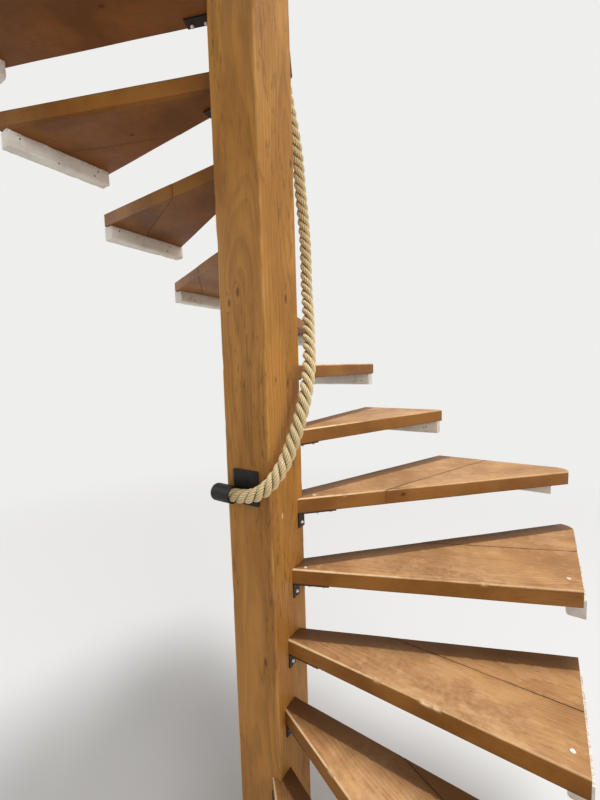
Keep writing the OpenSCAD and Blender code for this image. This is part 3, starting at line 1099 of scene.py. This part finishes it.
def bracket_screws(k):
    """The screws of the angle under tread k."""
    name = "bracket_%02d" % k
    low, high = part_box(name)
    out = face_normal(k)
    sideways = Vector((-out.y, out.x, 0))
    leaf = [v.co.dot(sideways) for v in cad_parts[name].data.vertices
            if v.co.z < low.z + 0.001]
    middle = (min(leaf) + max(leaf)) / 2
    at = out * (NEWEL_H + LEAF_T) + sideways * middle
    spots = [(at + Vector((0, 0, high.z - SCREW_DOWN)), out)]
    run = Vector((cos(heading(k)), sin(heading(k)), 0))
    back = Vector((-run.y, run.x, 0))
    start = NEWEL_H / run.dot(out)
    for far in SCREWS_OUT:
        at = run * (start + far) + back * (nosing_y(k) + SCREW_BEHIND)
        spots.append((at + Vector((0, 0, high.z - LEAF_T)), (0, 0, -1)))
    screw_heads(name + "_screws", spots, ANGLE_SCREW, ROUND_HEAD, "screw_steel")


for number in range(1, TREADS + 1):
    bracket_screws(number)

# Screws through the right hand treads into their battens: X, and how far behind the nosing
TREAD_SCREWS = {2: (0.762, 0.050), 3: (0.761, 0.054), 4: (0.760, 0.047), 5: (0.763, 0.058)}
# Screws near the newel: along the nosing from the newel's axis, and how far behind it
INNER_SCREWS = {5: (0.116, 0.014), 6: (0.148, 0.018)}


def tread_screws():
    """Flat screw heads on the treads where the photo shows them."""
    spots = []
    for k, (x, behind) in TREAD_SCREWS.items():
        turn, off = heading(k), nosing_y(k) + behind
        along = (x + off * sin(turn)) / cos(turn)
        y = along * sin(turn) + off * cos(turn)
        spots.append(((x, y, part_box("tread_%02d" % k)[1].z), (0, 0, 1)))
    for k, (along, behind) in INNER_SCREWS.items():
        spots.append((tread_frame(k) @ Vector((along, behind, 0)), (0, 0, 1)))
    screw_heads("tread_screws", spots, TREAD_SCREW, FLAT_HEAD, "screw_steel")


tread_screws()


# Plate screws: distance from the plate's edges
PLATE_INSET = 0.010


def plate_screws(end, side):
    """Dark screws in the corners of a rope plate."""
    low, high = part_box("rope_plate_" + end)
    y = high.y if side > 0 else low.y
    spots = [((x, y, z), (0, side, 0)) for x in (low.x + PLATE_INSET, high.x - PLATE_INSET)
             for z in (low.z + PLATE_INSET, high.z - PLATE_INSET)]
    screw_heads("rope_plate_%s_screws" % end, spots, PLATE_SCREW, FLAT_HEAD, "dark_iron", True)


plate_screws("lower", -1)
plate_screws("upper", 1)

# Nails seen in two battens: along the wall, then height above the batten's foot
NAILS = {11: [(0.034, 0.036), (0.273, 0.037), (0.258, 0.013)],
         12: [(-0.281, 0.033), (-0.168, 0.006), (-0.031, 0.034), (-0.045, 0.014)]}


def batten_nails(k):
    """Nail heads on the free face of batten k."""
    low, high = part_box("cleat_%02d" % k)
    out = -face_normal(k + 1)
    across = 0 if out.x else 1
    axis = 1 - across
    size = high[axis] - low[axis]
    spots = NAILS.get(k)
    if spots is None:
        draw = random.Random(k)
        spots = [(low[axis] + size * (share + draw.uniform(-0.02, 0.02)),
                  draw.uniform(0.012, 0.038)) for share in (0.12, 0.17, 0.83, 0.88)]
    placed = []
    for along, up in spots:
        at = Vector((0, 0, low.z + up))
        at[axis] = along
        at[across] = (high if out[across] > 0 else low)[across]
        placed.append((at, out))
    screw_heads("cleat_%02d_nails" % k, placed, NAIL, FLAT_HEAD, "dark_iron")


for number in range(2, TREADS + 1):
    batten_nails(number)


def finish_ironwork():
    """Dark paint and eased edges on the ironwork's CAD nodes."""
    for name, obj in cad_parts.items():
        if name.startswith(("bracket_", "rope_plate", "rope_cup")):
            paint(obj, "dark_iron")
            ease = obj.modifiers.new("eased", "BEVEL")
            ease.width = 0.0007
            ease.segments = 2
            ease.limit_method = "ANGLE"
            ease.angle_limit = radians(40)
            ease.harden_normals = True


finish_ironwork()

# The floor fades into the surroundings between these distances from the newel
FLOOR_NEAR = 1.6
FLOOR_FAR = 5.5
FLOOR_HALF = 40
FLOOR_LIT = (0.70, 0.696, 0.688, 1)
FLOOR_UNSEEN = (0.62, 0.615, 0.60, 1)
PALE = (0.86, 0.855, 0.84, 1)
SOFT_LIGHT = (1.0, 0.985, 0.96, 1)
# Lamps: place, aim, size and power
LAMPS = {"key": ((2.1, 2.9, 14.0), (0.1, 0.1, 1.4), 4.0, 1400),
         "right": ((4.6, -1.4, 3.0), (0, 0, 1.6), 3.0, 105),
         "left": ((-4.0, -1.5, 3.0), (0, 0, 1.8), 3.0, 38)}


def plainly_seen(g):
    """1 for the rays that show the background: straight, mirrored or through glass."""
    ray = g.node("LightPath", {}).outputs
    seen = g.math("MAXIMUM", ray["Is Camera Ray"], ray["Is Glossy Ray"])
    return g.math("MAXIMUM", seen, ray["Is Transmission Ray"])


def floor_material():
    """Pale floor that fades into the surroundings."""
    g = Graph("floor")
    g.finish(FLOOR_UNSEEN, 0.9)
    place = g.node("NewGeometry", {}).outputs["Position"]
    away = g.vector("LENGTH", g.stretch(place, 1, 1, 0))
    glow = g.node("Emission", {"Color": PALE}).outputs[0]
    lit = g.node("BsdfDiffuse", {"Color": FLOOR_LIT}).outputs[0]
    near = g.shade(g.between(away, FLOOR_NEAR, FLOOR_FAR), lit, glow)
    both = g.shade(plainly_seen(g), g.shader.outputs[0], near)
    g.put(g.tree.nodes["Material Output"].inputs["Surface"], both)
    return g.made


def make_floor():
    """A plain floor just below the newel's foot."""
    far = FLOOR_HALF
    corners = [(-far, -far, 0), (far, -far, 0), (far, far, 0), (-far, far, 0)]
    mesh = smooth_mesh("floor", corners, [(0, 1, 2, 3)])
    mesh.materials.append(floor_material())
    floor = new_object("floor", mesh)
    floor.location.z = -0.001


def surroundings():
    """Soft light from all round, and a plain pale background."""
    g = Graph("studio", "worlds")
    light = g.tree.nodes["Background"]
    g.put(light.inputs["Color"], SOFT_LIGHT)
    g.put(light.inputs["Strength"], 0.42)
    seen = g.node("Background", {"Color": PALE, "Strength": 1.0}).outputs[0]
    both = g.shade(plainly_seen(g), light.outputs[0], seen)
    g.put(g.tree.nodes["World Output"].inputs[0], both)
    bpy.context.scene.world = g.made


def lamp(name, at, aim, size, power):
    """A square soft lamp that points at a place."""
    data = bpy.data.lights.new(name, "AREA")
    data.size = size
    data.energy = power
    obj = new_object(name, data)
    obj.location = at
    obj.rotation_euler = (Vector(aim) - Vector(at)).to_track_quat("-Z", "Y").to_euler()


make_floor()
surroundings()
for name, setting in LAMPS.items():
    lamp(name, *setting)
bpy.context.scene.view_settings.view_transform = "Standard"
